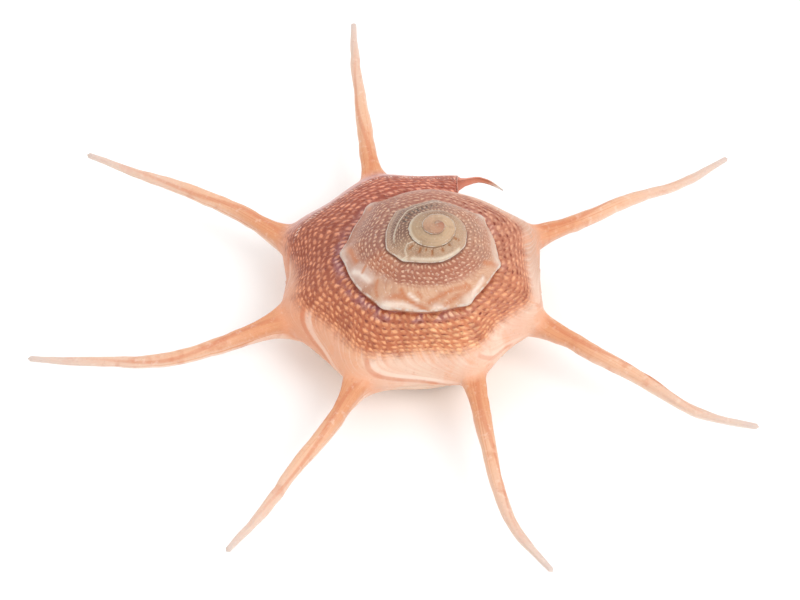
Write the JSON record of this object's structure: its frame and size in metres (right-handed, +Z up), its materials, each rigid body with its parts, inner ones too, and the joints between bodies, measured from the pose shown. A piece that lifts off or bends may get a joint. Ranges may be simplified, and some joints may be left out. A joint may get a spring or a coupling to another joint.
{
  "type": "star turban shell",
  "caption": "Low coiled sea snail shell with beaded whorls, a smooth outer band and long tapering spines standing out around its keel.",
  "frame": {"origin": "on the flat callus pad in the middle of the base, where the coiling axis of the last whorl meets the resting plane", "axes": "+Z up along the coiling axis, towards the apex; -Y towards the viewer of the picture; the mouth is on the +Y side and opens towards +X and down"},
  "size_m": [0.1033, 0.1028, 0.0228],
  "materials": {
    "shell": "satin"
  },
  "bodies": {
    "root": {"shell": "shell"}
  },
  "joints": []
}
